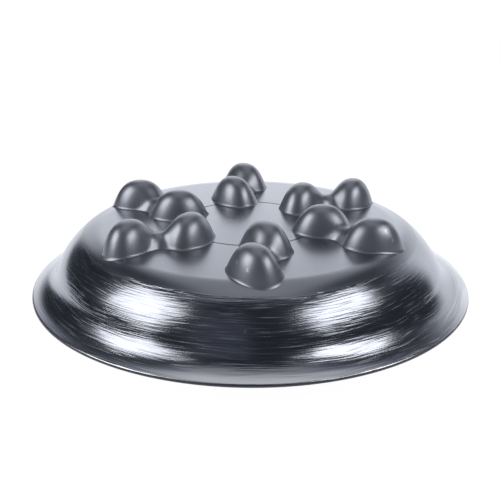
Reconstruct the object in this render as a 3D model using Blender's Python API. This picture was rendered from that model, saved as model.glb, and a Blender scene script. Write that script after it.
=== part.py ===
"""Wobble cushion: an air-filled saucer of soft vinyl with six pairs of knobs on its deck.

The skin is drawn once, as a turned outline that runs from the middle of the underside, round the
brim and up to the middle of the deck. Each zone of the skin that moves by itself is a stretch of
that outline and an object of its own. The knob pairs sit over openings in the deck, and a plug
closes the air valve in the foot. Metres, +Z up, origin on the floor under the middle of the foot.
"""

import math

import bmesh
import bpy
from mathutils import Vector

# Skin
SKIN = 0.003
SEAM_GAP = 0.0003

# Underside
FOOT_RADIUS = 0.095
BRIM_HEIGHT = 0.0173

# Brim
BRIM_RADIUS = 0.195
BRIM_EDGE_RADIUS = 0.001
BRIM_WIDTH = 0.0013
BRIM_SLOPE = math.radians(1)
FLANGE_ROOM = 0.0022

# Side, from the brim up to the deck
COVE_RADIUS = 0.02096
WALL_SLOPE = math.radians(68.8)
WALL_RADIUS = 0.0764
WALL_SEAM_SLOPE = math.radians(57)
SHOULDER_SLOPE = math.radians(38.5)
SHOULDER_RADIUS = 0.0339
DECK_EDGE_SLOPE = math.radians(0.9)

# Ring line on the deck
RING_RADIUS = 0.0596
RING_WIDTH = 0.0008
RING_DEPTH = 0.0004

# Knob pairs: an inner and an outer oval dome with a saddle between them
PAIR_COUNT = 6
INNER_CIRCLE_RADIUS = 0.0675
OUTER_CIRCLE_RADIUS = 0.1172
INNER_TURN = math.radians(-12.3)
OUTER_TURN = math.radians(-2.3)
KNOB_HEIGHT = 0.0229
KNOB_LENGTH = 0.055
KNOB_WIDTH = 0.0408
KNOB_SKEW = math.radians(44.5)
KNOB_FULLNESS = 2.8
FLARE_HEIGHT = 0.0012
FLARE_SHARE = 0.06
SADDLE_HEIGHT = 0.0095
SADDLE_WIDTH = 0.024
SADDLE_FULLNESS = 4
SADDLE_FILLET = 0.010
KNOB_SKIN = 0.0025
KNOB_LEDGE = 0.002
DECK_RADIUS = OUTER_CIRCLE_RADIUS + KNOB_LENGTH / 2

# Air valve
BORE_RADIUS = 0.0042
NECK_WALL = 0.0033
NECK_LENGTH = 0.012
RECESS_RADIUS = 0.012
SEAT_LAP = 0.008
SEAT_FLANGE = 0.0022
PLUG_LENGTH = 0.013
PLUG_HEAD = 0.0018
PLUG_HEAD_CLEARANCE = 0.0025
PLUG_RIB = 0.0003
PLUG_TAPER = 0.0006

# Mesh fineness
SEGMENTS = 60
VALVE_SEGMENTS = 24
ARC_SAGITTA = 0.00008
FAN_STEPS = 8
SIDE_STEPS = 6
OUTER_RINGS = (0.0, 0.28, 0.52, 0.72, 0.86, 0.95, 1.0)
INNER_RINGS = (0.0, 0.45, 0.75, 0.92, 1.0)
WELD = 1e-6

VINYL_GREY = (0.17, 0.175, 0.19)
PALE_GREY = (0.55, 0.56, 0.58)


def halved(low, high, below):
    """The place between low and high where below() turns from true to false."""
    for _ in range(40):
        middle = (low + high) / 2
        if below(middle):
            low = middle
        else:
            high = middle
    return low


class Outline:
    """A path of lines and arcs in the turned plane, with the skin's outer side on its right."""

    def __init__(self, start, heading):
        self.point = Vector(start)
        self.heading = heading
        self.length = 0.0
        self.runs = []

    def line(self, length):
        self.runs.append((self.length, length, self.point, self.heading, 0.0))
        self.length += length
        self.point = self.at(self.length)[0]
        return self.length

    def arc(self, radius, heading):
        """Turns to the heading, to the left where it is the larger angle."""
        turn = heading - self.heading
        length = abs(turn) * radius
        self.runs.append((self.length, length, self.point, self.heading, turn / length))
        self.length += length
        self.point = self.at(self.length)[0]
        self.heading = heading
        return self.length

    def at(self, s):
        """The point at this length along the path, and the outward normal there."""
        start, _, point, heading, bend = next(
            run for run in self.runs if s <= run[0] + run[1] or run is self.runs[-1]
        )
        turned = heading + bend * (s - start)
        normal = Vector((math.sin(turned), -math.cos(turned)))
        if bend == 0.0:
            return point + Vector((math.cos(heading), math.sin(heading))) * (s - start), normal
        first = Vector((math.sin(heading), -math.cos(heading)))
        return point + (normal - first) / bend, normal

    def stations(self, start, end):
        """Lengths from start to end: both ends, the joins of the runs, and steps along the arcs."""
        found = [start]
        for run_start, length, _, _, bend in self.runs:
            low = max(start, run_start)
            high = min(end, run_start + length)
            if high - low <= WELD:
                continue
            longest = math.sqrt(8 * ARC_SAGITTA / abs(bend)) if bend else length
            steps = max(1, math.ceil((high - low) / longest))
            found.extend(low + (high - low) * (i + 1) / steps for i in range(steps))
        return found


def skin_outline():
    """The outline of the whole skin, and the lengths along it where its zones end."""
    reach = BRIM_RADIUS - BRIM_EDGE_RADIUS - FOOT_RADIUS
    rise = BRIM_HEIGHT - BRIM_EDGE_RADIUS
    lift = 2 * math.atan2(rise, reach)
    ends = {}
    path = Outline((0.0, 0.0), 0.0)
    ends["foot"] = path.line(FOOT_RADIUS)
    ends["under_edge"] = path.arc(BRIM_EDGE_RADIUS + reach / math.sin(lift), lift)
    ends["brim_edge"] = path.arc(BRIM_EDGE_RADIUS, math.pi - BRIM_SLOPE)
    path.line(BRIM_WIDTH)
    path.arc(COVE_RADIUS, math.pi - WALL_SLOPE)
    ends["side"] = path.arc(WALL_RADIUS, math.pi - WALL_SEAM_SLOPE)
    path.arc(WALL_RADIUS, math.pi - SHOULDER_SLOPE)
    ends["deck_edge"] = path.arc(SHOULDER_RADIUS, math.pi - DECK_EDGE_SLOPE)
    ends["deck"] = path.arc(path.point.x / math.sin(DECK_EDGE_SLOPE), math.pi)
    return path, ends


PATH, ENDS = skin_outline()


def under_length(radius):
    """The length along the outline at this radius, on the underside."""
    return halved(ENDS["foot"], ENDS["under_edge"], lambda s: PATH.at(s)[0].x < radius)


def upper_length(radius):
    """The length along the outline at this radius, on the upper side."""
    return halved(ENDS["brim_edge"], ENDS["deck"], lambda s: PATH.at(s)[0].x > radius)


def upper_height(radius):
    return PATH.at(upper_length(radius))[0].y


def flange_radius():
    """How far in the brim is solid: to where the upper and the lower skin part."""
    room = 2 * SKIN + FLANGE_ROOM

    def parted(radius):
        return upper_height(radius) - PATH.at(under_length(radius))[0].y > room

    return halved(FOOT_RADIUS, BRIM_RADIUS - BRIM_EDGE_RADIUS, parted)


ENDS["underside"] = under_length(flange_radius())
ENDS["rim"] = upper_length(flange_radius())
ENDS["shoulder"] = upper_length(DECK_RADIUS)


def make_material(name, colour, roughness, metallic):
    material = bpy.data.materials.new(name)
    material.use_nodes = True
    shader = material.node_tree.nodes["Principled BSDF"]
    shader.inputs["Base Color"].default_value = (*colour, 1.0)
    shader.inputs["Roughness"].default_value = roughness
    shader.inputs["Metallic"].default_value = metallic
    return material


def make_object(name, mesh, finish, parent=None):
    """Names the mesh's object, gives it its material and hangs it on its axis, if it has one."""
    obj = bpy.data.objects.new(name, mesh)
    bpy.context.scene.collection.objects.link(obj)
    mesh.materials.append(make_material(name, *finish))
    mesh.shade_smooth()
    mesh.set_sharp_from_angle(angle=math.radians(40))
    if parent:
        obj.parent = parent
        obj.matrix_parent_inverse = parent.matrix_world.inverted()
    return obj


def make_axis(name, place, parent=None):
    axis = bpy.data.objects.new(name, None)
    bpy.context.scene.collection.objects.link(axis)
    axis.location = place
    if parent:
        axis.parent = parent
        axis.matrix_parent_inverse = parent.matrix_world.inverted()
    bpy.context.view_layer.update()
    return axis


def finish_mesh(name, shape):
    bmesh.ops.remove_doubles(shape, verts=shape.verts, dist=WELD)
    bmesh.ops.dissolve_degenerate(shape, edges=shape.edges, dist=WELD)
    bmesh.ops.recalc_face_normals(shape, faces=shape.faces)
    mesh = bpy.data.meshes.new(name)
    shape.to_mesh(mesh)
    shape.free()
    return mesh


def turned_mesh(name, section, segments=SEGMENTS):
    """Spins a closed section of (radius, height) points about the Z axis."""
    shape = bmesh.new()
    points = [shape.verts.new((radius, 0.0, height)) for radius, height in section]
    edges = [
        shape.edges.new((a, b))
        for a, b in zip(points, points[1:] + points[:1])
        if max(a.co.x, b.co.x) > WELD
    ]
    bmesh.ops.spin(
        shape, geom=points + edges, cent=(0, 0, 0), axis=(0, 0, 1),
        angle=math.tau, steps=segments, use_merge=True,
    )
    return finish_mesh(name, shape)


def skin_section(start, end):
    """A stretch of the skin with its thickness, short of both seams by half a gap."""
    stations = PATH.stations(start + SEAM_GAP / 2, end - SEAM_GAP / 2)
    outside = [PATH.at(s) for s in stations]
    outer = [point for point, _ in outside]
    return outer + [point - normal * SKIN for point, normal in reversed(outside)]


def flange_section():
    """The brim, where the upper and the lower skin are joined solid."""
    start = ENDS["underside"] + SEAM_GAP / 2
    end = ENDS["rim"] - SEAM_GAP / 2
    outer = [PATH.at(s)[0] for s in PATH.stations(start, end)]
    return outer + [point - normal * SKIN for point, normal in (PATH.at(end), PATH.at(start))]


def deck_section():
    """The deck, from its seam to the middle, with the ring line as a fine V groove."""
    stations = PATH.stations(ENDS["shoulder"] + SEAM_GAP / 2, ENDS["deck_edge"])
    outside = [PATH.at(s) for s in stations]
    outer = [point for point, _ in outside]
    for side, depth in ((1, 0.0), (0, RING_DEPTH), (-1, 0.0)):
        radius = RING_RADIUS + side * RING_WIDTH / 2
        outer.append(Vector((radius, upper_height(radius) - depth)))
    middle = PATH.at(ENDS["deck"])[0]
    inner = [point - normal * SKIN for point, normal in reversed(outside)]
    return outer + [Vector((0.0, middle.y)), Vector((0.0, middle.y - SKIN))] + inner


def filleted(a, b):
    """The larger of two heights, with a fillet where they meet."""
    share = max(SADDLE_FILLET - abs(a - b), 0.0) / SADDLE_FILLET
    return max(a, b) + share**2 * SADDLE_FILLET / 4


def polar(radius, angle):
    """A point at this angle, clockwise from the rear as seen from above."""
    return Vector((radius * math.sin(angle), radius * math.cos(angle)))


class KnobPair:
    """The height of one pair of knobs over the deck, and its foot line."""

    def __init__(self, index):
        turn = math.tau * index / PAIR_COUNT
        self.inner = polar(INNER_CIRCLE_RADIUS, INNER_TURN + turn)
        self.outer = polar(OUTER_CIRCLE_RADIUS, OUTER_TURN + turn)
        self.middle = (self.inner + self.outer) / 2
        self.span = (self.outer - self.inner).length
        self.along = (self.outer - self.inner) / self.span
        self.across = Vector((-self.along.y, self.along.x))
        cosine, sine = math.cos(KNOB_SKEW), math.sin(KNOB_SKEW)
        self.long_axis = self.along * cosine + self.across * sine
        self.short_axis = self.across * cosine - self.along * sine

    def dome(self, point, middle):
        """An oval bell with a small flare at its foot."""
        offset = point - middle
        share = math.hypot(
            2 * offset.dot(self.long_axis) / KNOB_LENGTH,
            2 * offset.dot(self.short_axis) / KNOB_WIDTH,
        )
        bell = KNOB_HEIGHT * (1 - (share / (1 - FLARE_SHARE / 2)) ** KNOB_FULLNESS)
        flare = FLARE_HEIGHT * (1 - share) / FLARE_SHARE
        return max(bell, flare)

    def height(self, point):
        """The height above the deck, below zero outside the foot line."""
        domes = max(self.dome(point, self.inner), self.dome(point, self.outer))
        offset = point - self.inner
        if not 0 < offset.dot(self.along) < self.span:
            return domes
        aside = 2 * offset.dot(self.across) / SADDLE_WIDTH
        return filleted(domes, SADDLE_HEIGHT * (1 - abs(aside)**SADDLE_FULLNESS))

    def spokes(self):
        """(spine point, direction, distance to the foot line), counter-clockwise round the pair."""
        turns = [math.pi * i / FAN_STEPS - math.pi / 2 for i in range(FAN_STEPS + 1)]
        fan = [self.along * math.cos(t) + self.across * math.sin(t) for t in turns]
        spine = [self.inner.lerp(self.outer, i / SIDE_STEPS) for i in range(1, SIDE_STEPS)]
        found = [(self.outer, way) for way in fan]
        found += [(point, self.across) for point in reversed(spine)]
        found += [(self.inner, -way) for way in fan]
        found += [(point, -self.across) for point in spine]
        return [(start, way, self.reach(start, way)) for start, way in found]

    def reach(self, start, way):
        return halved(0.0, KNOB_LENGTH, lambda far: self.height(start + way * far) > 0)


def seated(point, height):
    """A point this high above its seat on the deck."""
    return Vector((*point, upper_height(point.length) + SEAM_GAP + height))


def knob_rings(pair, spokes, shares, wall):
    """Rings of points from the spine out to the foot line, drawn in by the wall's thickness."""
    rings = []
    for share in shares:
        ring = []
        for start, way, reach in spokes:
            crest = pair.height(start)
            height = pair.height(start + way * reach * share) if share < 1 else 0.0
            point = start + way * (reach - wall) * share
            ring.append(seated(point, height * (crest - wall) / crest))
        rings.append(ring)
    return rings


def knob_mesh(name, pair, spokes):
    """A hollow pair of knobs, open below: outer face, foot and inner face in one run of rings."""
    outer = knob_rings(pair, spokes, OUTER_RINGS, 0.0)
    inner = knob_rings(pair, spokes, INNER_RINGS, KNOB_SKIN)
    shape = bmesh.new()
    verts = [[shape.verts.new(point) for point in ring] for ring in outer + inner[::-1]]
    for ring, following in zip(verts, verts[1:]):
        for i in range(len(ring)):
            shape.faces.new((ring[i - 1], following[i - 1], following[i], ring[i]))
    return finish_mesh(name, shape)


def opening_cutter(name, spokes):
    """A prism that opens the deck under a knob pair and leaves a ledge for its foot."""
    outline = [start + way * (reach - KNOB_SKIN - KNOB_LEDGE) for start, way, reach in spokes]
    low = upper_height(DECK_RADIUS) - 2 * SKIN
    high = upper_height(0.0) + SKIN
    shape = bmesh.new()
    floor = shape.faces.new([shape.verts.new((*point, low)) for point in outline])
    raised = bmesh.ops.extrude_face_region(shape, geom=[floor])["geom"]
    tops = [item for item in raised if isinstance(item, bmesh.types.BMVert)]
    bmesh.ops.translate(shape, verts=tops, vec=(0, 0, high - low))
    cutter = bpy.data.objects.new(name, finish_mesh(name, shape))
    bpy.context.scene.collection.objects.link(cutter)
    cutter.hide_render = True
    cutter.display_type = "WIRE"
    return cutter


def make_knobs(axis):
    """The knob pairs round the deck, each on its own axis, and the cutters for their openings."""
    cutters = []
    for index in range(PAIR_COUNT):
        name = f"knob_pair_{index + 1}"
        pair = KnobPair(index)
        spokes = pair.spokes()
        press = make_axis(f"{name}_axis", seated(pair.middle, 0.0), axis)
        make_object(name, knob_mesh(name, pair, spokes), (VINYL_GREY, 0.3, 0.6), press)
        cutters.append(opening_cutter(f"{name}_opening", spokes))
    return cutters


def make_deck(axis, cutters):
    mesh = turned_mesh("top_deck", deck_section())
    deck = make_object("top_deck", mesh, (VINYL_GREY, 0.25, 0.6), axis)
    for cutter in cutters:
        opening = deck.modifiers.new(cutter.name, "BOOLEAN")
        opening.operation = "DIFFERENCE"
        opening.object = cutter


def make_walls(rim_axis, shoulder_axis):
    finish = (VINYL_GREY, 0.35, 0.6)
    make_object("rim_flange", turned_mesh("rim_flange", flange_section()), finish, rim_axis)
    section = skin_section(ENDS["rim"], ENDS["side"])
    make_object("side_wall", turned_mesh("side_wall", section), finish, rim_axis)
    section = skin_section(ENDS["side"], ENDS["shoulder"])
    make_object("shoulder_wall", turned_mesh("shoulder_wall", section), finish, shoulder_axis)


def make_foot():
    finish = (VINYL_GREY, 0.45, 0.3)
    section = skin_section(RECESS_RADIUS - SEAM_GAP / 2, ENDS["foot"])
    make_object("foot_pad", turned_mesh("foot_pad", section), finish)
    section = skin_section(ENDS["foot"], ENDS["underside"])
    make_object("underside_wall", turned_mesh("underside_wall", section), finish)


def seat_section():
    """A flanged tube bonded on the inside of the foot, over its recess."""
    base = SKIN + SEAM_GAP
    shelf = base + SEAT_FLANGE
    top = shelf + NECK_LENGTH
    neck = BORE_RADIUS + NECK_WALL
    flange = RECESS_RADIUS + SEAT_LAP
    low_side = [(BORE_RADIUS, base), (flange, base), (flange, shelf)]
    return low_side + [(neck, shelf), (neck, top), (BORE_RADIUS, top)]


def plug_section():
    """A push-in plug: a head in the recess, a shank with two sealing ribs, and a tapered tip."""
    head = RECESS_RADIUS - PLUG_HEAD_CLEARANCE
    rib = BORE_RADIUS - SEAM_GAP
    shank = rib - PLUG_RIB
    top = SKIN + PLUG_LENGTH
    points = [(0.0, SKIN - PLUG_HEAD), (head, SKIN - PLUG_HEAD), (head, SKIN), (shank, SKIN)]
    for share in (1 / 3, 2 / 3):
        middle = SKIN + PLUG_LENGTH * share
        points += [(shank, middle - PLUG_RIB), (rib, middle), (shank, middle + PLUG_RIB)]
    return points + [(shank - PLUG_TAPER, top), (0.0, top)]


def make_valve():
    finish = (PALE_GREY, 0.45, 0.0)
    make_object("valve_seat", turned_mesh("valve_seat", seat_section(), VALVE_SEGMENTS), finish)
    make_object("valve_plug", turned_mesh("valve_plug", plug_section(), VALVE_SEGMENTS), finish)


def main():
    for obj in list(bpy.data.objects):
        bpy.data.objects.remove(obj, do_unlink=True)
    tilt_centre = (0, 0, PATH.at(ENDS["side"])[0].y)
    sink = make_axis("sink_axis", (0, 0, BRIM_HEIGHT))
    fore_aft = make_axis("fore_aft_axis", tilt_centre, sink)
    sideways = make_axis("sideways_axis", tilt_centre, fore_aft)
    make_foot()
    make_valve()
    make_walls(sink, fore_aft)
    make_deck(sideways, make_knobs(sideways))


main()
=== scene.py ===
"""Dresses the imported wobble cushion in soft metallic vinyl, and sets the floor, light and camera."""

import math

import bpy
from bpy.props import FloatProperty, FloatVectorProperty, IntProperty, PointerProperty
from mathutils import Matrix, Vector


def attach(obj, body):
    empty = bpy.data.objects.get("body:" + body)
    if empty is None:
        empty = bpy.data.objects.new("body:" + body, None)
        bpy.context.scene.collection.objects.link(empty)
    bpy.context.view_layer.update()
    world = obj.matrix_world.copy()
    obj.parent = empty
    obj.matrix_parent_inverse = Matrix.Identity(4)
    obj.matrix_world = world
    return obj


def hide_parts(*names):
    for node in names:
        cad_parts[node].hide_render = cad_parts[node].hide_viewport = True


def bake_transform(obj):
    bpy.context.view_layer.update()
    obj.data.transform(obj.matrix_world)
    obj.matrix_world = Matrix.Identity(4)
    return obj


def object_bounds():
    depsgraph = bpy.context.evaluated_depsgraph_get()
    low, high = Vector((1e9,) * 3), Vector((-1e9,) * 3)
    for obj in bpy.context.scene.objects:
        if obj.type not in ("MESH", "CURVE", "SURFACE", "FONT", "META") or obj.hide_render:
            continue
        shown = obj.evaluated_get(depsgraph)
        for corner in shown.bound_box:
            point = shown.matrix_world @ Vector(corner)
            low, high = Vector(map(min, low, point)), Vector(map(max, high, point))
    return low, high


bl_info = {
    "name": "Wobble cushion",
    "version": (1, 0, 0),
    "blender": (4, 5, 0),
    "location": "View3D > Sidebar > Cushion",
    "description": "Builds the cushion's vinyl skin, knobs and valve on its frame, and a studio round it",
    "category": "Object",
}

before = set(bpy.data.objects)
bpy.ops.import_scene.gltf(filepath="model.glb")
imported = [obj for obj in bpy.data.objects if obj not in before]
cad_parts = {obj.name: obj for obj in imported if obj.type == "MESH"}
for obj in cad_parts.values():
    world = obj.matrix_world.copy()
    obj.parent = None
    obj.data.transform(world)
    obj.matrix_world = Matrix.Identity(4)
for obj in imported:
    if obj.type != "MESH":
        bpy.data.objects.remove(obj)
CAD_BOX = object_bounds()

KNOB_NODES = sorted(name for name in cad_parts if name.startswith("knob_pair_"))
REST_PLACE = "rest_place"
SKIN_LENGTH = "skin_length"

# A corner takes the skin's own normal where the cosine between it and the face's is over this.
ALIKE = 0.7

# Places of the Mix node's colour sockets.
MIX_FACTOR, MIX_FIRST, MIX_SECOND, MIX_RESULT = 0, 6, 7, 2

# Steps of a search that halves its range each time, and a length in metres that counts as none.
HALVINGS = 40
TINY = 1e-7

# Knob points that agree to so many decimals of a metre are one point. Edges over this angle stay sharp.
SAME_POINT_DIGITS = 6
SHARP_ANGLE = math.radians(50)

# Longest steps along the skin in metres, and the largest turns in one step in radians.
FINE_STEP = 0.0015
DECK_STEP = 0.003
PLAIN_STEP = 0.006
COARSE_STEP = 0.012
SKIN_TURN = math.radians(4)
EDGE_TURN = math.radians(15)
INNER_TURN = 0.3

# The knobs' inner face has one ring for so many of the outer face.
INNER_RINGS = 3

# Streaks round the skin: turns of noise in one round, streaks per metre up the skin, detail.
WANDER_STREAKS = (2.2, 30, 1.0)
BROAD_STREAKS = (1.8, 170, 2.0)
FINE_STREAKS = (3.0, 560, 2.0)
HAIR_STREAKS = (7.0, 1000, 1.0)
EDGE_STREAKS = (3.5, 300, 3.0)
BRIM_STREAKS = (2.5, 230, 2.0)

# The noise's middle level, and levels of it between which a mark goes from none to full.
NOISE_MIDDLE = 0.5
BAND_LEVELS = (0.35, 0.60)
SCRATCH_LEVELS = (0.52, 0.66)
STREAK_LEVELS = (0.38, 0.60)

# Specks: cells per metre, a dot's radius in its cell, and the share of cells without one.
SKIN_SPECKS = (210.0, 0.09, 0.972)
KNOB_SPECKS = (180.0, 0.09, 0.985)

# Colours of the studio.
WHITE = (1.0, 1.0, 1.0)
FLOOR_PLAIN = (0.85, 0.85, 0.86)
FLOOR_REFLECTED = (0.90, 0.93, 1.0)
DIM_TINT = (0.66, 0.74, 1.0)
BRIGHT_TINT = (0.92, 0.945, 1.0)

# The room's tint goes from dim to bright as its light grows to 1 / TINT_GAIN.
TINT_GAIN = 2.0

# Lights of the room in degrees. A climb goes up from the rear and over the cushion, a side goes to the right
# from its middle plane, a turn goes round to the right from its front, and a height goes up from the floor.
# Two angles are dark and full. Four are dark, full, full and dark.
BACKDROP_HEIGHT = (41, 13)
BACKDROP_CLIMB = (90, 70)
BACKDROP_SIDES = (-38, -26, 45, 58)
BACKDROP_MORE = (32, 46)
STRIP_CLIMB = (107, 95)
STRIP_SIDES = (-24, -10, 13, 26)
CARD_TURNS = (-36, -31, -2, 3)
CARD_HEIGHTS = (14, 19, 53, 58)

# The soft lamps in degrees: turn from the rear and height, then width and height seen from the cushion.
LEFT_LAMP = ((-109, 39), (33, 31))
RIGHT_LAMP = ((116, 44), (35, 18))

# Scuffs: middle and half width in metres.
SKIN_SCUFFS = (((-0.0983, -0.0913, 0.0708), 0.0016), ((-0.0019, -0.1658, 0.0461), 0.0012))
KNOB_SCUFFS = (
    ((0.1125, -0.0655, 0.0865), 0.0020),
    ((0.1145, -0.0660, 0.0838), 0.0022),
    ((0.1178, -0.0666, 0.0798), 0.0014),
    ((-0.0005, -0.1342, 0.0805), 0.0014),
    ((-0.0088, -0.1242, 0.0829), 0.0012),
)


def length(name, description, default):
    return FloatProperty(name=name, description=description, default=default, unit="LENGTH", precision=5)


def angle(name, description, degrees):
    return FloatProperty(name=name, description=description, default=math.radians(degrees), unit="ROTATION")


def share(name, description, default):
    return FloatProperty(name=name, description=description, default=default, min=0.0, subtype="FACTOR")


def light(name, description, default):
    return FloatProperty(name=name, description=description, default=default, min=0.0, precision=3)


def colour(name, description, default):
    return FloatVectorProperty(
        name=name, description=description, default=default, size=3, min=0.0, max=1.0, subtype="COLOR"
    )


class SkinSizes(bpy.types.PropertyGroup):
    """The turned skin, from the foot round the brim to the deck."""

    skin: length("Skin", "Thickness of the vinyl", 0.003)
    foot_radius: length("Foot radius", "Edge of the flat patch it rests on", 0.095)
    recess_radius: length("Recess radius", "Hole in the foot round the plug", 0.012)
    brim_radius: length("Brim radius", "Outer edge of the brim", CAD_BOX[1].x)
    brim_height: length("Brim height", "Middle of the brim's edge over the floor", 0.0178)
    brim_edge: length("Brim edge", "Radius of the rounded edge", 0.0018)
    brim_width: length("Brim width", "Straight part of the brim", 0.003)
    brim_slope: angle("Brim slope", "Rise of the brim from its edge", 17)
    flange_radius: length("Flange radius", "Inner end of the solid brim", 0.1829)
    cove_radius: length("Cove radius", "Hollow between the brim and the wall", 0.0325)
    wall_slope: angle("Wall slope", "Steepest slope of the wall", 64.19)
    wall_radius: length("Wall radius", "Bulge of the wall", 0.0764)
    wall_seam: angle("Wall seam", "Slope where the side ends and the shoulder begins", 57)
    shoulder_slope: angle("Shoulder slope", "Slope where the wall turns into the shoulder", 38.5)
    shoulder_radius: length("Shoulder radius", "Turn from the wall to the deck", 0.0339)
    deck_slope: angle("Deck slope", "Slope at the deck's edge", 0.9)
    deck_radius: length("Deck radius", "Edge of the deck", 0.1447)
    ring_radius: length("Ring radius", "Fine line round the deck", 0.0596)
    ring_width: length("Ring width", "Width of that line", 0.0009)
    ring_depth: length("Ring depth", "Depth of that line", 0.0005)
    lean: length("Lean", "How far the soft dome sits aside from the middle of its brim", -0.0018)
    lean_start: length("Lean start", "Height where the dome begins to sit aside", 0.0209)
    lean_end: length("Lean end", "Height from which the whole dome sits aside", 0.05)
    segments: IntProperty(name="Segments", description="Steps round the skin", default=256, min=24)


class KnobSizes(bpy.types.PropertyGroup):
    """The pairs of oval knobs on the deck."""

    inner_circle: length("Inner circle", "Radius of the inner knobs' middles", 0.0675)
    outer_circle: length("Outer circle", "Radius of the outer knobs' middles", 0.1172)
    inner_turn: angle("Inner turn", "Turn of the first inner knob from the rear", -12.3)
    outer_turn: angle("Outer turn", "Turn of the first outer knob from the rear", -2.3)
    height: length("Height", "Rise of a knob over the deck", 0.0229)
    length: length("Length", "Longer width of a knob's foot", 0.055)
    width: length("Width", "Shorter width of a knob's foot", 0.0408)
    skew: angle("Skew", "Turn of the oval from the line of the pair", 44.5)
    fullness: FloatProperty(name="Fullness", description="Roundness of the dome", default=2.8, min=1.0)
    flare_height: length("Flare height", "Rise of the turned-out foot", 0.0012)
    flare_share: share("Flare share", "Part of the knob's radius that is turned out", 0.06)
    flare_fillet: length("Flare fillet", "Rounding between the dome and its foot", 0.0006)
    saddle_height: length("Saddle height", "Rise of the bridge between two knobs", 0.0092)
    saddle_width: length("Saddle width", "Width of that bridge", 0.024)
    saddle_fullness: FloatProperty(
        name="Saddle fullness", description="Steepness of the bridge's sides", default=2.6, min=1.0
    )
    saddle_fillet: length("Saddle fillet", "Rounding where the bridge meets the knobs", 0.014)
    wall: length("Wall", "Thickness of the knob", 0.0025)
    skirt: length("Skirt", "Depth of the knob's edge in the deck", 0.0008)
    fan_steps: IntProperty(name="Fan steps", description="Steps round each knob's end", default=36, min=4)
    side_steps: IntProperty(name="Side steps", description="Steps along the pair", default=24, min=4)
    rings: IntProperty(name="Rings", description="Rings from the crest to the foot", default=30, min=6)


class Finishes(bpy.types.PropertyGroup):
    """Colours of the vinyl and the valve."""

    silver: colour("Silver", "Bright pigment of the brim", (0.89, 0.90, 0.935))
    smooth: colour("Smooth", "Vinyl on the deck, the shoulder and the wall", (0.335, 0.347, 0.388))
    knob: colour("Knob", "Vinyl on the knobs", (0.318, 0.330, 0.374))
    dark: colour("Dark", "Vinyl where the pigment is rubbed thin", (0.235, 0.245, 0.285))
    # The line colour is painted shade, in the ring line's groove and under the brim's edge.
    line: colour("Line", "Shade in the ring line", (0.05, 0.053, 0.064))
    under: colour("Underside", "Plain vinyl under the cushion", (0.10, 0.102, 0.11))
    valve: colour("Valve", "Plastic of the valve", (0.46, 0.47, 0.49))
    scuff: colour("Scuff", "Pale scuffs and specks", (0.85, 0.86, 0.88))


class Wear(bpy.types.PropertyGroup):
    """Where the vinyl is rubbed, and how deep."""

    rub_start: length("Rub start", "Radius where the rubbing begins", 0.1472)
    rub_end: length("Rub end", "Radius from which the wall is rubbed all over", 0.1496)
    rub_ragged: length("Rub ragged", "How far the rubbing's edge wanders", 0.012)
    rear: share("Rear", "Wear at the rear, as a share of the front's", 0.15)
    front_start: share("Front start", "Cosine from the front where the wear grows", 0.28)
    front_end: share("Front end", "Cosine from the front where it is full", 0.68)
    wander: length("Wander", "How far the streaks leave their level", 0.008)
    brim_start: length("Brim start", "Radius where the bright brim begins", 0.1812)
    brim_end: length("Brim end", "Radius from which the brim is bright", 0.1925)
    brim_ragged: length("Brim ragged", "How far that edge wanders", 0.008)
    brim_silver: share("Brim silver", "Least silver on the brim, between its bands", 0.65)
    scratch_silver: share("Scratch silver", "Silver in the scratches", 0.16)
    line_start: length("Line start", "Half width of the ring line's shade", 0.0015)
    line_end: length("Line end", "Half width of its darkest part", 0.0007)
    streak_depth: length("Streak depth", "Depth of the streaks", 0.0004)


class StageSizes(bpy.types.PropertyGroup):
    """Camera and studio."""

    camera_distance: length("Camera distance", "From the camera to the point it looks at", 0.74494)
    camera_elevation: angle("Camera elevation", "Height of the camera over the horizon", 21.0532)
    camera_roll: angle("Camera roll", "Turn of the camera about its own axis", 0.306)
    aim_right: length("Aim right", "Sideways place of the point it looks at", -0.00055)
    aim_height: length("Aim height", "Height of the point it looks at", 0.04516)
    lens: FloatProperty(name="Lens", description="Focal length in millimetres", default=59.0, min=10.0)
    floor_radius: length("Floor radius", "Reach of the floor", 6.0)
    room_radius: length("Room radius", "Reach of the dim studio round the cushion", 7.0)
    lamp_distance: length("Lamp distance", "From the cushion to each soft lamp", 1.5)
    lamp_light: light("Lamp light", "Radiance of the left lamp", 3.2)
    lamp_right: share("Right lamp", "Light of the right lamp, as a share of the left one", 1.2)
    room_light: light("Room light", "Dim light from all round", 0.058)
    card_light: light("Card light", "Grey card left of the camera", 0.09)
    white_light: light("White light", "White backdrop behind the cushion", 0.9)
    white_more: light("More white", "What the backdrop's right end adds to it", 0.2)
    overhead_light: light("Overhead light", "Strip over the cushion", 0.44)
    floor_light: light("Floor light", "Glow of the white floor", 1.12)
    floor_glow: share("Floor glow", "Share of the floor's look that glows; the rest takes the shadow", 0.88)
    floor_drop: length("Floor drop", "Depth of the floor under the foot", 0.0005)


def cushion():
    return bpy.context.scene.cushion


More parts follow.
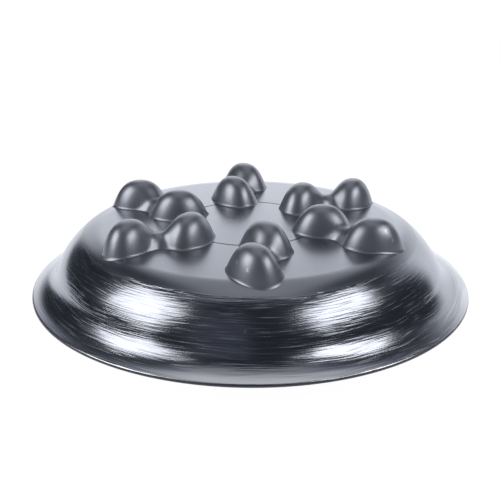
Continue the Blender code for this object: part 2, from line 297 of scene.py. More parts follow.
class Profile:
    """A path of lines and arcs in the turned plane, with the skin's outer side on its right."""

    def __init__(self, start, heading):
        self.point = Vector(start)
        self.heading = heading
        self.end = 0.0
        self.runs = []

    def run(self, reach, turn):
        bend = turn / reach
        self.runs.append((self.end, reach, self.point, self.heading, bend))
        self.end += reach
        self.point = self.at(self.end)[0]
        self.heading += turn
        return self.end

    def arc(self, radius, heading):
        turn = heading - self.heading
        return self.run(abs(turn) * radius, turn)

    def at(self, place):
        """The point at this length along the path, and the outward normal there."""
        start, _, point, heading, bend = next(
            run for run in self.runs if place <= run[0] + run[1] or run is self.runs[-1]
        )
        reach = place - start
        turned = heading + bend * reach
        normal = Vector((math.sin(turned), -math.cos(turned)))
        if bend == 0.0:
            return point + Vector((math.cos(heading), math.sin(heading))) * reach, normal
        return point + (normal - Vector((math.sin(heading), -math.cos(heading)))) / bend, normal

    def find(self, low, high, before):
        """The length between low and high where before(radius) turns from true to false."""
        for _ in range(HALVINGS):
            middle = (low + high) / 2
            if before(self.at(middle)[0].x):
                low = middle
            else:
                high = middle
        return low

    def places(self, start, end, longest, turn=SKIN_TURN):
        """Lengths from start to end, with no step longer than longest or turning more than turn."""
        found = [start]
        for run_start, reach, _, _, bend in self.runs:
            low, high = max(start, run_start), min(end, run_start + reach)
            if high - low < TINY:
                continue
            step = min(longest, turn / abs(bend)) if bend else longest
            count = max(1, math.ceil((high - low) / step))
            found.extend(low + (high - low) * (i + 1) / count for i in range(count))
        return found


class Skin:
    """The skin's profile, and the lengths along it where its zones meet."""

    def __init__(self, sizes):
        self.sizes = sizes
        reach = sizes.brim_radius - sizes.brim_edge - sizes.foot_radius
        lift = 2 * math.atan2(sizes.brim_height - sizes.brim_edge, reach)
        path = Profile((0.0, 0.0), 0.0)
        self.foot = path.run(sizes.foot_radius, 0.0)
        under = path.arc(sizes.brim_edge + reach / math.sin(lift), lift)
        edge = path.arc(sizes.brim_edge, math.pi - sizes.brim_slope)
        path.run(sizes.brim_width, 0.0)
        path.arc(sizes.cove_radius, math.pi - sizes.wall_slope)
        self.side = path.arc(sizes.wall_radius, math.pi - sizes.wall_seam)
        path.arc(sizes.wall_radius, math.pi - sizes.shoulder_slope)
        self.deck_edge = path.arc(sizes.shoulder_radius, math.pi - sizes.deck_slope)
        self.middle = path.arc(path.point.x / math.sin(sizes.deck_slope), math.pi)
        self.path = path
        self.brim_edge = edge
        self.underside = path.find(self.foot, under, lambda radius: radius < sizes.flange_radius)
        self.rim = self.upper(sizes.flange_radius)
        self.shoulder = self.upper(sizes.deck_radius)

    def upper(self, radius):
        """The length along the path at this radius on the upper side."""
        return self.path.find(self.brim_edge, self.middle, lambda found: found > radius)

    def height(self, radius):
        return self.path.at(self.upper(radius))[0].y

    def seam_height(self, place):
        return self.path.at(place)[0].y


class Row:
    """One ring of a turned piece: where it is, which way it faces, and how far along the skin."""

    def __init__(self, point, normal, place):
        self.point = point
        self.normal = normal
        self.place = place


def outer_rows(skin, places):
    return [Row(*skin.path.at(place), place) for place in places]


def inner_rows(skin, places):
    """The inner face of the skin, from the last place back to the first."""
    rows = []
    for place in reversed(places):
        point, normal = skin.path.at(place)
        rows.append(Row(point - normal * skin.sizes.skin, -normal, place))
    return rows


def shell_rows(skin, start, end, longest, inset=0.0003):
    """Both faces of a stretch of skin. The inner face stops short of the seams."""
    outer = outer_rows(skin, skin.path.places(start, end, longest))
    inner = skin.path.places(start + inset, end - inset, COARSE_STEP, INNER_TURN)
    return outer + inner_rows(skin, inner)


def new_piece(name, points, faces, finish):
    mesh = bpy.data.meshes.new(name)
    mesh.from_pydata(points, [], faces)
    mesh.materials.append(finish)
    mesh.shade_smooth()
    piece = bpy.data.objects.new(name, mesh)
    bpy.context.scene.collection.objects.link(piece)
    return piece


def keep_place(piece, points, places):
    """Stores each point's place at rest, so that the finish moves with the vinyl."""
    mesh = piece.data
    rest = mesh.attributes.new(REST_PLACE, "FLOAT_VECTOR", "POINT")
    rest.data.foreach_set("vector", [value for point in points for value in point])
    along = mesh.attributes.new(SKIN_LENGTH, "FLOAT", "POINT")
    along.data.foreach_set("value", places)


def face_smoothly(mesh, normals):
    """Gives each face corner the skin's own normal, or the face's where that is an edge."""
    corners = []
    for face in mesh.polygons:
        for index in face.vertices:
            alike = face.normal.dot(normals[index]) > ALIKE
            corners.append(normals[index] if alike else face.normal.copy())
    mesh.normals_split_custom_set(corners)


def leaned(point, sizes):
    """The point moved with the soft dome, and how fast that grows with the height."""
    reach = sizes.lean_end - sizes.lean_start
    part = min(max((point.z - sizes.lean_start) / reach, 0.0), 1.0)
    aside = sizes.lean * part * part * (3 - 2 * part)
    return point + Vector((aside, 0, 0)), sizes.lean * 6 * part * (1 - part) / reach


def turned_piece(name, rows, sizes, finish):
    """Turns a closed run of rows about the Z axis."""
    segments = sizes.segments
    rest, points, normals, places, rings = [], [], [], [], []
    for row in rows:
        ring = []
        for i in range(segments):
            if i and row.point.x < TINY:
                ring.append(ring[0])
                continue
            turn = math.tau * i / segments
            across = Vector((math.cos(turn), math.sin(turn), 0.0))
            ring.append(len(points))
            rest.append(across * row.point.x + Vector((0, 0, row.point.y)))
            point, growth = leaned(rest[-1], sizes)
            points.append(point)
            normal = across * row.normal.x + Vector((0, 0, row.normal.y))
            normals.append((normal - Vector((0, 0, growth * normal.x))).normalized())
            places.append(row.place)
        rings.append(ring)
    faces = []
    for ring, following in zip(rings, rings[1:] + rings[:1]):
        for i in range(segments):
            corners = (ring[i - 1], ring[i], following[i], following[i - 1])
            face = list(dict.fromkeys(corners))
            if len(face) > 2:
                faces.append(face)
    piece = new_piece(name, points, faces, finish)
    keep_place(piece, rest, places)
    face_smoothly(piece.data, normals)
    return piece


def declare(node):
    """Hides the CAD node that the piece stands for."""
    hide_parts(node)


class Socket:
    """A shader socket that takes part in sums. Each sum adds a Math node."""

    def __init__(self, shader, output):
        self.shader = shader
        self.output = output

    def math(self, operation, *values):
        return self.shader.node("ShaderNodeMath", {"operation": operation}, values)

    def __add__(self, other):
        return self.math("ADD", self, other)

    def __sub__(self, other):
        return self.math("SUBTRACT", self, other)

    def __rsub__(self, other):
        return self.math("SUBTRACT", other, self)

    def __mul__(self, other):
        return self.math("MULTIPLY", self, other)

    __radd__ = __add__
    __rmul__ = __mul__

    def ramp(self, low, high):
        """0 up to low, 1 from high and smooth between, or the other way round if low is the larger."""
        settings = {"interpolation_type": "SMOOTHSTEP"}
        inputs = {"Value": self, "From Min": low, "From Max": high}
        return self.shader.node("ShaderNodeMapRange", settings, inputs)

    def ramp_degrees(self, low, high):
        return self.ramp(math.radians(low), math.radians(high))

    def between(self, dark_low, full_low, full_high, dark_high):
        """1 between the two full angles and 0 outside the two dark ones, in degrees."""
        return self.ramp_degrees(dark_low, full_low) * self.ramp_degrees(dark_high, full_high)


class Shader:
    """A node tree that is filled from Python."""

    def __init__(self, tree):
        self.tree = tree
        tree.nodes.clear()

    def node(self, kind, settings=None, inputs=(), output=0):
        """Adds a node: its settings first, then the values or links of its sockets, by place or name."""
        made = self.tree.nodes.new(kind)
        for name, value in (settings or {}).items():
            setattr(made, name, value)
        pairs = inputs.items() if isinstance(inputs, dict) else enumerate(inputs)
        for key, value in pairs:
            if isinstance(value, Socket):
                self.tree.links.new(value.output, made.inputs[key])
            else:
                made.inputs[key].default_value = value
        return Socket(self, made.outputs[output]) if made.outputs else None

    def vector(self, operation, *values, output=0):
        return self.node("ShaderNodeVectorMath", {"operation": operation}, values, output)

    def mix(self, first, second, factor):
        """From the first colour to the second as the factor goes from 0 to 1."""
        inputs = {MIX_FACTOR: factor, MIX_FIRST: first, MIX_SECOND: second}
        return self.node("ShaderNodeMix", {"data_type": "RGBA"}, inputs, MIX_RESULT)

    def noise(self, place, scale, detail=2.0, roughness=0.5):
        inputs = {"Vector": place, "Scale": scale, "Detail": detail, "Roughness": roughness}
        return self.node("ShaderNodeTexNoise", {}, inputs)

    def attribute(self, name, output):
        return self.node("ShaderNodeAttribute", {"attribute_name": name}, (), output)


def opaque(value):
    return (*value, 1.0)


def new_finish(name):
    material = bpy.data.materials.new(name)
    material.use_nodes = True
    return material, Shader(material.node_tree)


def close_finish(shader, inputs):
    """Ends a finish with its surface shader."""
    surface = shader.node("ShaderNodeBsdfPrincipled", {}, inputs)
    shader.node("ShaderNodeOutputMaterial", {}, {"Surface": surface})


def bump(shader, height, depth, strength):
    return shader.node("ShaderNodeBump", {}, {"Strength": strength, "Distance": depth, "Height": height})


def cloud_and_grain(shader, place, clouds, grains):
    """Broad clouds and a fine grain, so many of each per metre."""
    return shader.noise(place, clouds, detail=3.0), shader.noise(place, grains)


def specks(shader, place, scale, size, rarity, softness=0.02):
    """Small sparse dots: 1 inside a dot."""
    cells = {"Vector": place, "Scale": scale}
    core = size * 0.4
    near = shader.node("ShaderNodeTexVoronoi", {}, cells, "Distance").ramp(size, core)
    drawn = shader.node("ShaderNodeTexVoronoi", {}, cells, "Color")
    chance = shader.vector("DOT_PRODUCT", drawn, (1, 0, 0), output=1)
    return near * chance.ramp(rarity, rarity + softness)


def streak_noise(shader, around, along, streaks):
    """Noise drawn out round the cushion, as (turns, streaks per metre, detail)."""
    turns, per_metre, detail = streaks
    lift = shader.node("ShaderNodeCombineXYZ", {}, {"Z": along * per_metre})
    place = shader.vector("MULTIPLY_ADD", around, (turns, turns, 0), lift)
    return shader.noise(place, 1.0, detail, roughness=0.55)


def scuffs(shader, place, marks, grains=1300.0, ragged=6.0, opacity=0.6):
    """Ragged pale marks: opacity inside a mark. Each mark is its middle and its half width."""
    grain = shader.noise(place, grains) - NOISE_MIDDLE
    found = 0.0
    for middle, size in marks:
        gap = shader.vector("DISTANCE", place, middle, output=1)
        core = size * 0.5
        found = (gap + grain * (size * ragged)).ramp(size, core) * opacity + found
    return found


class SkinMarks:
    """Masks of the worn skin and of painted shade, each from 0 to 1, drawn from its place at rest."""

    def __init__(self, shader, wear, sizes):
        self.rest = shader.attribute(REST_PLACE, "Vector")
        self.along = shader.attribute(SKIN_LENGTH, "Fac")
        flat = shader.vector("MULTIPLY", self.rest, (1, 1, 0))
        around = shader.vector("NORMALIZE", flat)
        radius = shader.vector("LENGTH", flat, output=1)
        wander = streak_noise(shader, around, self.along, WANDER_STREAKS)
        bent = self.along + (wander - NOISE_MIDDLE) * wear.wander
        broad, fine, hair, bands = (
            streak_noise(shader, around, bent, streaks)
            for streaks in (BROAD_STREAKS, FINE_STREAKS, HAIR_STREAKS, BRIM_STREAKS)
        )
        edge = streak_noise(shader, around, self.along, EDGE_STREAKS)
        ragged = radius + (edge - NOISE_MIDDLE) * wear.rub_ragged
        self.rubbed = ragged.ramp(wear.rub_start, wear.rub_end)
        front = shader.vector("DOT_PRODUCT", around, (0, -1, 0), output=1)
        front = front.ramp(wear.front_start, wear.front_end)
        self.handled = self.rubbed * (wear.rear + front * (1 - wear.rear))
        ragged = radius + (fine - NOISE_MIDDLE) * wear.brim_ragged
        self.brim = ragged.ramp(wear.brim_start, wear.brim_end)
        self.bands = bands.ramp(*BAND_LEVELS)
        self.scratches = (fine * 0.45 + hair * 0.55).ramp(*SCRATCH_LEVELS) * self.handled
        self.streaks = (broad * 0.2 + fine * 0.4 + hair * 0.4).ramp(*STREAK_LEVELS)
        self.relief = fine * 0.42 + hair * 0.38 + broad * 0.2
        # below is painted shade: it darkens the brim's underside and the lower part of its rounded edge,
        # fading out at the edge's top.
        edge_end = Skin(sizes).brim_edge
        self.below = self.along.ramp(edge_end, edge_end - sizes.brim_edge)
        # line is painted shade in the ring line's groove, darkest at its middle.
        aside = radius - sizes.ring_radius
        self.line = aside.math("ABSOLUTE", aside).ramp(wear.line_start, wear.line_end)


def skin_finish():
    """Metallic vinyl: smooth on the deck, rubbed round and round on the wall, with painted shade under the
    brim's edge and in the ring line.
    """
    looks, wear = cushion().finishes, cushion().wear
    material, shader = new_finish("rubbed_metallic_vinyl")
    marks = SkinMarks(shader, wear, cushion().skin)
    worn = shader.mix(opaque(looks.dark), opaque(looks.smooth), marks.streaks)
    base = shader.mix(opaque(looks.smooth), worn, marks.handled)
    base = shader.mix(base, opaque(looks.silver), marks.scratches * wear.scratch_silver)
    banded = wear.brim_silver + marks.bands * (1 - wear.brim_silver)
    base = shader.mix(base, opaque(looks.silver), marks.brim * banded)
    # Painted shade under the brim's edge, in the ring line's dark colour.
    base = shader.mix(base, opaque(looks.line), marks.below)
    # Painted shade in the ring line's groove.
    base = shader.mix(base, opaque(looks.line), marks.line)
    dots = specks(shader, marks.rest, *SKIN_SPECKS) * marks.rubbed
    dots = dots + scuffs(shader, marks.rest, SKIN_SCUFFS)
    base = shader.mix(base, opaque(looks.scuff), dots)
    cloud, peel = cloud_and_grain(shader, marks.rest, clouds=60.0, grains=420.0)
    rough = 0.24 + cloud * 0.05 - marks.rubbed * 0.08 - marks.brim * 0.02
    rough = rough + marks.scratches * 0.16 + marks.below * 0.2
    height = marks.handled * marks.relief * (1 - marks.brim * 0.4)
    height = height + (1 - marks.rubbed) * peel * 0.02
    close_finish(shader, {
        "Base Color": base, "Metallic": 1.0, "Roughness": rough,
        "Normal": bump(shader, height, depth=wear.streak_depth, strength=1.0),
        "Coat Weight": 0.5, "Coat Roughness": 0.18,
    })
    return material


def knob_finish():
    """Satin metallic vinyl with faint mould marks and a few scuffs."""
    looks = cushion().finishes
    material, shader = new_finish("satin_knob_vinyl")
    rest = shader.attribute(REST_PLACE, "Vector")
    cloud, grain = cloud_and_grain(shader, rest, clouds=55.0, grains=620.0)
    base = shader.mix(opaque(looks.knob), opaque(looks.smooth), cloud.ramp(0.5, 0.9) * 0.25)
    dots = specks(shader, rest, *KNOB_SPECKS) + scuffs(shader, rest, KNOB_SCUFFS)
    base = shader.mix(base, opaque(looks.scuff), dots)
    close_finish(shader, {
        "Base Color": base, "Metallic": 0.92, "Roughness": 0.36 + cloud * 0.08,
        "Normal": bump(shader, grain + cloud * 2.0, depth=0.00006, strength=0.5),
        "Coat Weight": 0.25, "Coat Roughness": 0.15,
    })
    return material


def under_finish():
    """Plain satin vinyl with a faint moulded grain."""
    looks = cushion().finishes
    material, shader = new_finish("plain_under_vinyl")
    rest = shader.attribute(REST_PLACE, "Vector")
    cloud, grain = cloud_and_grain(shader, rest, clouds=40.0, grains=700.0)
    base = shader.mix(opaque(looks.under), opaque(looks.silver), cloud.ramp(0.55, 0.95) * 0.12)
    close_finish(shader, {
        "Base Color": base, "Metallic": 0.4, "Roughness": 0.4 + cloud * 0.15,
        "Normal": bump(shader, grain, depth=0.00008, strength=0.7),
    })
    return material


def valve_finish():
    """Semi-flexible plastic with a fine moulded grain."""
    looks = cushion().finishes
    material, shader = new_finish("valve_plastic")
    place = shader.node("ShaderNodeTexCoord", {}, (), "Object")
    cloud, grain = cloud_and_grain(shader, place, clouds=120.0, grains=900.0)
    base = shader.mix(opaque(looks.valve), opaque(looks.scuff), cloud.ramp(0.5, 0.9) * 0.2)
    close_finish(shader, {
        "Base Color": base, "Roughness": 0.42 + cloud * 0.12,
        "Normal": bump(shader, grain, depth=0.00005, strength=0.5),
    })
    return material


def shared(name, make):
    """The finish of this name, made the first time it is asked for."""
    return bpy.data.materials.get(name) or make()


def skin_vinyl():
    return shared("rubbed_metallic_vinyl", skin_finish)


def under_vinyl():
    return shared("plain_under_vinyl", under_finish)


class CUSHION_OT_foot(bpy.types.Operator):
    """Builds the flat foot and the lens-shaped underside"""

    bl_idname = "cushion.foot"
    bl_label = "Foot and underside"

    def execute(self, context):
        sizes = cushion().skin
        skin = Skin(sizes)
        rows = shell_rows(skin, sizes.recess_radius, skin.foot, COARSE_STEP)
        pad = turned_piece("foot_skin", rows, sizes, under_vinyl())
        declare("foot_pad")
        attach(pad, "foot")
        rows = shell_rows(skin, skin.foot, skin.underside, PLAIN_STEP)
        under = turned_piece("underside_skin", rows, sizes, under_vinyl())
        declare("underside_wall")
        seam = skin.seam_height(skin.underside)
        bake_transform(under)
        return {"FINISHED"}


class CUSHION_OT_brim(bpy.types.Operator):
    """Builds the brim, where the upper and the lower skin are welded"""

    bl_idname = "cushion.brim"
    bl_label = "Brim"

    def execute(self, context):
        sizes = cushion().skin
        skin = Skin(sizes)
        rows = outer_rows(skin, skin.path.places(skin.underside, skin.rim, FINE_STEP, EDGE_TURN))
        rows += inner_rows(skin, [skin.underside + sizes.brim_edge, skin.rim - sizes.brim_edge])
        brim = turned_piece("brim_skin", rows, sizes, skin_vinyl())
        declare("rim_flange")
        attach(brim, "rim")
        return {"FINISHED"}


class CUSHION_OT_wall(bpy.types.Operator):
    """Builds the side and the shoulder"""

    bl_idname = "cushion.wall"
    bl_label = "Side and shoulder"

    def execute(self, context):
        sizes = cushion().skin
        skin = Skin(sizes)
        side_seam = skin.seam_height(skin.side)
        rows = shell_rows(skin, skin.rim, skin.side, FINE_STEP)
        side = turned_piece("side_skin", rows, sizes, skin_vinyl())
        declare("side_wall")
        start = (0, 0, skin.seam_height(skin.rim))
        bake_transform(side)
        rows = shell_rows(skin, skin.side, skin.shoulder, FINE_STEP)
        shoulder = turned_piece("shoulder_skin", rows, sizes, skin_vinyl())
        declare("shoulder_wall")
        end = (0, 0, skin.seam_height(skin.shoulder))
        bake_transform(shoulder)
        return {"FINISHED"}


class CUSHION_OT_deck(bpy.types.Operator):
    """Builds the deck with its fine ring line"""

    bl_idname = "cushion.deck"
    bl_label = "Deck"

    def execute(self, context):
        sizes = cushion().skin
        skin = Skin(sizes)
        groove = [skin.upper(sizes.ring_radius + side * sizes.ring_width / 2) for side in (1, -1)]
        edge = outer_rows(skin, skin.path.places(skin.shoulder, groove[0], DECK_STEP))
        bottom, normal = skin.path.at((groove[0] + groove[1]) / 2)
        edge.append(Row(bottom - normal * sizes.ring_depth, normal, sum(groove) / 2))
        middle = outer_rows(skin, skin.path.places(groove[1], skin.middle, PLAIN_STEP))
        inset = skin.path.places(skin.shoulder + sizes.ring_depth, skin.middle, COARSE_STEP, INNER_TURN)
        rows = edge + middle + inner_rows(skin, inset)
        deck = turned_piece("deck_skin", rows, sizes, skin_vinyl())
        declare("top_deck")
        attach(deck, "deck")
        return {"FINISHED"}


def filleted(a, b, fillet):
    """The larger of two heights, with a fillet where they meet."""
    part = max(fillet - abs(a - b), 0.0) / fillet
    return max(a, b) + part * part * fillet / 4


class KnobPair:
    """The height of one pair of knobs over the deck, and its foot line."""

    def __init__(self, sizes, index, count):
        self.sizes = sizes
        turn = math.tau * index / count
        self.inner = self.polar(sizes.inner_circle, sizes.inner_turn + turn)
        self.outer = self.polar(sizes.outer_circle, sizes.outer_turn + turn)
        self.span = (self.outer - self.inner).length
        self.along = (self.outer - self.inner) / self.span
        self.across = Vector((-self.along.y, self.along.x))
        cosine, sine = math.cos(sizes.skew), math.sin(sizes.skew)
        self.long_axis = self.along * cosine + self.across * sine
        self.short_axis = self.across * cosine - self.along * sine

    @staticmethod
    def polar(radius, turn):
        """A point at this turn from the rear, clockwise as seen from above."""
        return Vector((radius * math.sin(turn), radius * math.cos(turn)))

    def dome(self, point, middle):
        """An oval bell with a turned-out foot."""
        sizes = self.sizes
        offset = point - middle
        reach = math.hypot(
            2 * offset.dot(self.long_axis) / sizes.length, 2 * offset.dot(self.short_axis) / sizes.width
        )
        bell = sizes.height * (1 - (reach / (1 - sizes.flare_share / 2)) ** sizes.fullness)
        flare = sizes.flare_height * (1 - reach) / sizes.flare_share
        return max(bell, flare) if reach > 1 else filleted(bell, flare, sizes.flare_fillet)

    def height(self, point):
        domes = max(self.dome(point, self.inner), self.dome(point, self.outer))
        offset = point - self.inner
        if not 0 < offset.dot(self.along) < self.span:
            return domes
        aside = abs(2 * offset.dot(self.across) / self.sizes.saddle_width)
        bridge = self.sizes.saddle_height * (1 - aside ** self.sizes.saddle_fullness)
        return filleted(domes, bridge, self.sizes.saddle_fillet)

    def reach(self, start, way):
        """The distance from the spine to the foot line."""
        low, high = 0.0, self.sizes.length
        for _ in range(HALVINGS):
            middle = (low + high) / 2
            if self.height(start + way * middle) > 0:
                low = middle
            else:
                high = middle
        return low

    def spokes(self):
        """(spine point, direction, distance to the foot line), counter-clockwise round the pair."""
        fan_steps, side_steps = self.sizes.fan_steps, self.sizes.side_steps
        turns = [math.pi * i / fan_steps - math.pi / 2 for i in range(fan_steps + 1)]
        fan = [self.along * math.cos(t) + self.across * math.sin(t) for t in turns]
        spine = [self.inner.lerp(self.outer, i / side_steps) for i in range(1, side_steps)]
        found = [(self.outer, way) for way in fan]
        found += [(point, self.across) for point in reversed(spine)]
        found += [(self.inner, -way) for way in fan]
        found += [(point, -self.across) for point in spine]
        return [(start, way, self.reach(start, way)) for start, way in found]


def knob_points(pair, skin, spokes, shares, wall):
    """Rings of points from the spine to the foot line, drawn in by the wall's thickness."""
    rings = []
    for part in shares:
        ring = []
        for start, way, reach in spokes:
            point = start + way * (reach - wall) * part
            crest = pair.height(start)
            rise = pair.height(start + way * reach * part) if part < 1 else 0.0
            ring.append(Vector((*point, skin.height(point.length) + rise * (crest - wall) / crest)))
        rings.append(ring)
    return rings


def knob_piece(name, pair, skin, finish):
    """A hollow pair of knobs whose edge is let into the deck."""
    sizes = pair.sizes
    spokes = pair.spokes()
    shares = [math.sin(math.pi / 2 * i / sizes.rings) for i in range(sizes.rings + 1)]
    outer = knob_points(pair, skin, spokes, shares, 0.0)
    inner = knob_points(pair, skin, spokes, shares[::INNER_RINGS], sizes.wall)[::-1]
    drop = Vector((0, 0, sizes.skirt))
    rings = outer + [[p - drop for p in outer[-1]], [p - drop for p in inner[0]]] + inner
    points, faces, numbered = [], [], []
    for ring in rings:
        numbers = []
        known = {}
        for point in ring:
            key = tuple(round(value, SAME_POINT_DIGITS) for value in point)
            if key not in known:
                known[key] = len(points)
                points.append(point)
            numbers.append(known[key])
        numbered.append(numbers)
    for ring, following in zip(numbered, numbered[1:]):
        for i in range(len(ring)):
            face = list(dict.fromkeys((ring[i - 1], following[i - 1], following[i], ring[i])))
            if len(face) > 2:
                faces.append(face)
    piece = new_piece(name, [leaned(point, skin.sizes)[0] for point in points], faces, finish)
    keep_place(piece, points, [0.0] * len(points))
    piece.data.set_sharp_from_angle(angle=SHARP_ANGLE)
    return piece


class CUSHION_OT_knobs(bpy.types.Operator):
    """Builds the pairs of knobs"""

    bl_idname = "cushion.knobs"
    bl_label = "Knobs"

    def execute(self, context):
        skin = Skin(cushion().skin)
        finish = knob_finish()
        for index, node in enumerate(KNOB_NODES):
            pair = KnobPair(cushion().knobs, index, len(KNOB_NODES))
            piece = knob_piece(f"knob_skin_{index + 1}", pair, skin, finish)
            declare(node)
            foot = skin.height(pair.inner.length)
            top = foot + pair.sizes.height
            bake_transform(piece)
        return {"FINISHED"}


class CUSHION_OT_valve(bpy.types.Operator):
    """Gives the valve's seat and plug their plastic"""

    bl_idname = "cushion.valve"
    bl_label = "Valve"

    def execute(self, context):
        finish = valve_finish()
        for node in ("valve_seat", "valve_plug"):
            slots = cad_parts[node].data.materials
            slots.clear()
            slots.append(finish)
        return {"FINISHED"}


def floor_finish(stage):
    """A white floor that keeps a faint shadow, and can be seen through from below."""
    material, shader = new_finish("studio_floor")
    camera, glossy, through = (
        shader.node("ShaderNodeLightPath", {}, (), name)
        for name in ("Is Camera Ray", "Is Glossy Ray", "Is Transmission Ray")
    )
    seen = camera.math("MAXIMUM", camera, glossy.math("MAXIMUM", glossy, through))
    plain = shader.node("ShaderNodeBsdfDiffuse", {}, {"Color": opaque(FLOOR_PLAIN)})
    tint = shader.mix(opaque(WHITE), opaque(FLOOR_REFLECTED), glossy)
    glow = shader.node("ShaderNodeEmission", {}, {"Color": tint, "Strength": stage.floor_light})
    top = shader.node("ShaderNodeMixShader", {}, [seen * stage.floor_glow, plain, glow])
    clear = shader.node("ShaderNodeBsdfTransparent")
    below = shader.node("ShaderNodeNewGeometry", {}, (), "Backfacing")
    surface = shader.node("ShaderNodeMixShader", {}, [below, top, clear])
    shader.node("ShaderNodeOutputMaterial", {}, {"Surface": surface})
    return material


def room_finish(stage):
    """The dim studio: white behind the cushion, a strip overhead and a grey card in front, left."""
    material, shader = new_finish("studio_room")
    place = shader.node("ShaderNodeTexCoord", {}, (), "Object")
    way = shader.vector("NORMALIZE", place)
    x, y, z = (shader.node("ShaderNodeSeparateXYZ", {}, [way], axis) for axis in "XYZ")
    climb = z.math("ARCTAN2", z, y)
    aside = x.math("ARCSINE", x)
    height = z.math("ARCSINE", z)
    across = x.math("ARCTAN2", x, 0 - y)
    white = height.ramp_degrees(*BACKDROP_HEIGHT) * climb.ramp_degrees(*BACKDROP_CLIMB)
    white = white * aside.between(*BACKDROP_SIDES)
    white = white * (stage.white_light + aside.ramp_degrees(*BACKDROP_MORE) * stage.white_more)
    overhead = climb.ramp_degrees(*STRIP_CLIMB) * aside.between(*STRIP_SIDES)
    card = across.between(*CARD_TURNS) * height.between(*CARD_HEIGHTS)
    light = stage.room_light + card * stage.card_light + white + overhead * stage.overhead_light
    tint = shader.mix(opaque(DIM_TINT), opaque(BRIGHT_TINT), light * TINT_GAIN)
    scaled = shader.node("ShaderNodeVectorMath", {"operation": "SCALE"}, {0: tint, "Scale": light})
    glow = shader.node("ShaderNodeEmission", {}, {"Color": scaled})
    shader.node("ShaderNodeOutputMaterial", {}, {"Surface": glow})
    material.cycles.emission_sampling = "NONE"
    return material


def turned_towards(way):
    """(sideways, height) angles as a unit vector, measured from the rear, clockwise from above."""
    aside, climb = (math.radians(value) for value in way)
    flat = math.cos(climb)
    return Vector((math.sin(aside) * flat, math.cos(aside) * flat, math.sin(climb)))


def soft_lamp(name, way, spread, distance, light):
    """A soft rectangular lamp seen from the cushion at this angle, with this spread in degrees."""
    data = bpy.data.lights.new(name, "AREA")
    data.shape = "RECTANGLE"
    data.size, data.size_y = (2 * distance * math.tan(math.radians(value / 2)) for value in spread)
    data.energy = light * math.pi * data.size * data.size_y
    lamp = bpy.data.objects.new(name, data)
    bpy.context.scene.collection.objects.link(lamp)
    back = turned_towards(way)
    lamp.location = back * distance
    lamp.rotation_euler = back.to_track_quat("Z", "Y").to_euler()
    lamp.visible_camera = False


def disc_points(radius, count):
    turns = [math.tau * i / count for i in range(count)]
    return [Vector((radius * math.cos(turn), radius * math.sin(turn), 0.0)) for turn in turns]


def add_floor(stage, count=96):
    points = disc_points(stage.floor_radius, count)
    floor = new_piece("studio_floor", points, [list(range(count))], floor_finish(stage))
    floor.location.z = -stage.floor_drop


def add_room(stage, count=48, steps=16, top=0.999):
    """A half dome that only light and reflections meet, with a tiny hole at its top."""
    radius = stage.room_radius
    points, faces = [], []
    for step in range(steps + 1):
        climb = math.pi / 2 * step / steps * top
        for flat in disc_points(radius * math.cos(climb), count):
            points.append(flat + Vector((0, 0, radius * math.sin(climb))))
    for step in range(steps):
        for i in range(count):
            low, high = step * count, (step + 1) * count
            following = (i + 1) % count
            faces.append((low + i, high + i, high + following, low + following))
    room = new_piece("studio_room", points, faces, room_finish(stage))
    room.visible_camera = False
    room.visible_shadow = False


def add_camera(stage):
    climb = stage.camera_elevation
    forward = Vector((0, math.cos(climb), -math.sin(climb)))
    level_up = Vector((0, math.sin(climb), math.cos(climb)))
    level_right = Vector((1, 0, 0))
    roll = stage.camera_roll
    right = level_right * math.cos(roll) + level_up * math.sin(roll)
    up = level_up * math.cos(roll) - level_right * math.sin(roll)
    aim = Vector((stage.aim_right, 0, stage.aim_height))
    data = bpy.data.cameras.new("studio_camera")
    data.lens = stage.lens
    camera = bpy.data.objects.new("studio_camera", data)
    bpy.context.scene.collection.objects.link(camera)
    turn = Matrix((right, up, -forward)).transposed().to_4x4()
    camera.matrix_world = Matrix.Translation(aim - forward * stage.camera_distance) @ turn
    bpy.context.scene.camera = camera


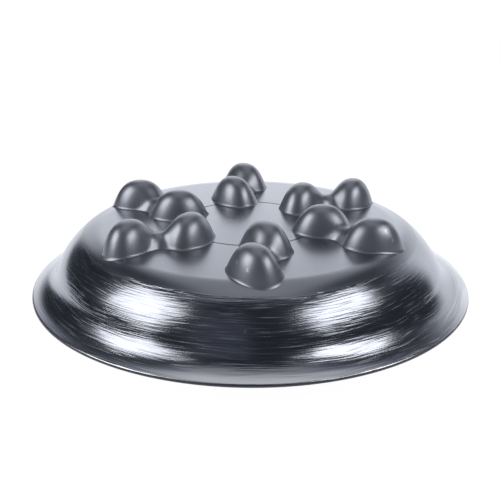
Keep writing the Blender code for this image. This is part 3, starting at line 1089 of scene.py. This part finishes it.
class CUSHION_OT_stage(bpy.types.Operator):
    """Sets the white floor, the dim studio, the soft lamps and the camera"""

    bl_idname = "cushion.stage"
    bl_label = "Stage"

    def execute(self, context):
        stage = cushion().stage
        scene = context.scene
        scene.view_settings.view_transform = "Standard"
        world = bpy.data.worlds.new("studio_white")
        scene.world = world
        world.use_nodes = True
        shader = Shader(world.node_tree)
        white = shader.node("ShaderNodeBackground", {}, {"Color": opaque(WHITE), "Strength": 1.0})
        shader.node("ShaderNodeOutputWorld", {}, {"Surface": white})
        add_floor(stage)
        add_room(stage)
        right_light = stage.lamp_light * stage.lamp_right
        soft_lamp("lamp_left", *LEFT_LAMP, stage.lamp_distance, stage.lamp_light)
        soft_lamp("lamp_right", *RIGHT_LAMP, stage.lamp_distance, right_light)
        add_camera(stage)
        return {"FINISHED"}


class Cushion(bpy.types.PropertyGroup):
    """All the cushion's settings."""

    skin: PointerProperty(type=SkinSizes)
    knobs: PointerProperty(type=KnobSizes)
    finishes: PointerProperty(type=Finishes)
    wear: PointerProperty(type=Wear)
    stage: PointerProperty(type=StageSizes)


OPERATORS = (
    CUSHION_OT_foot,
    CUSHION_OT_brim,
    CUSHION_OT_wall,
    CUSHION_OT_deck,
    CUSHION_OT_knobs,
    CUSHION_OT_valve,
    CUSHION_OT_stage,
)


class CUSHION_PT_sidebar(bpy.types.Panel):
    """Lists the cushion's pieces and settings"""

    bl_label = "Wobble cushion"
    bl_space_type = "VIEW_3D"
    bl_region_type = "UI"
    bl_category = "Cushion"

    def draw(self, context):
        for operator in OPERATORS:
            self.layout.operator(operator.bl_idname)
        for group in ("skin", "knobs", "finishes", "wear", "stage"):
            settings = getattr(context.scene.cushion, group)
            box = self.layout.box()
            for name in settings.__annotations__:
                box.prop(settings, name)


CLASSES = (SkinSizes, KnobSizes, Finishes, Wear, StageSizes, Cushion, *OPERATORS, CUSHION_PT_sidebar)


def register():
    for made in CLASSES:
        bpy.utils.register_class(made)
    bpy.types.Scene.cushion = PointerProperty(type=Cushion)


def unregister():
    del bpy.types.Scene.cushion
    for made in reversed(CLASSES):
        bpy.utils.unregister_class(made)


def main():
    register()
    for operator in OPERATORS:
        group, name = operator.bl_idname.split(".")
        getattr(getattr(bpy.ops, group), name)()


if __name__ == "__main__":
    main()
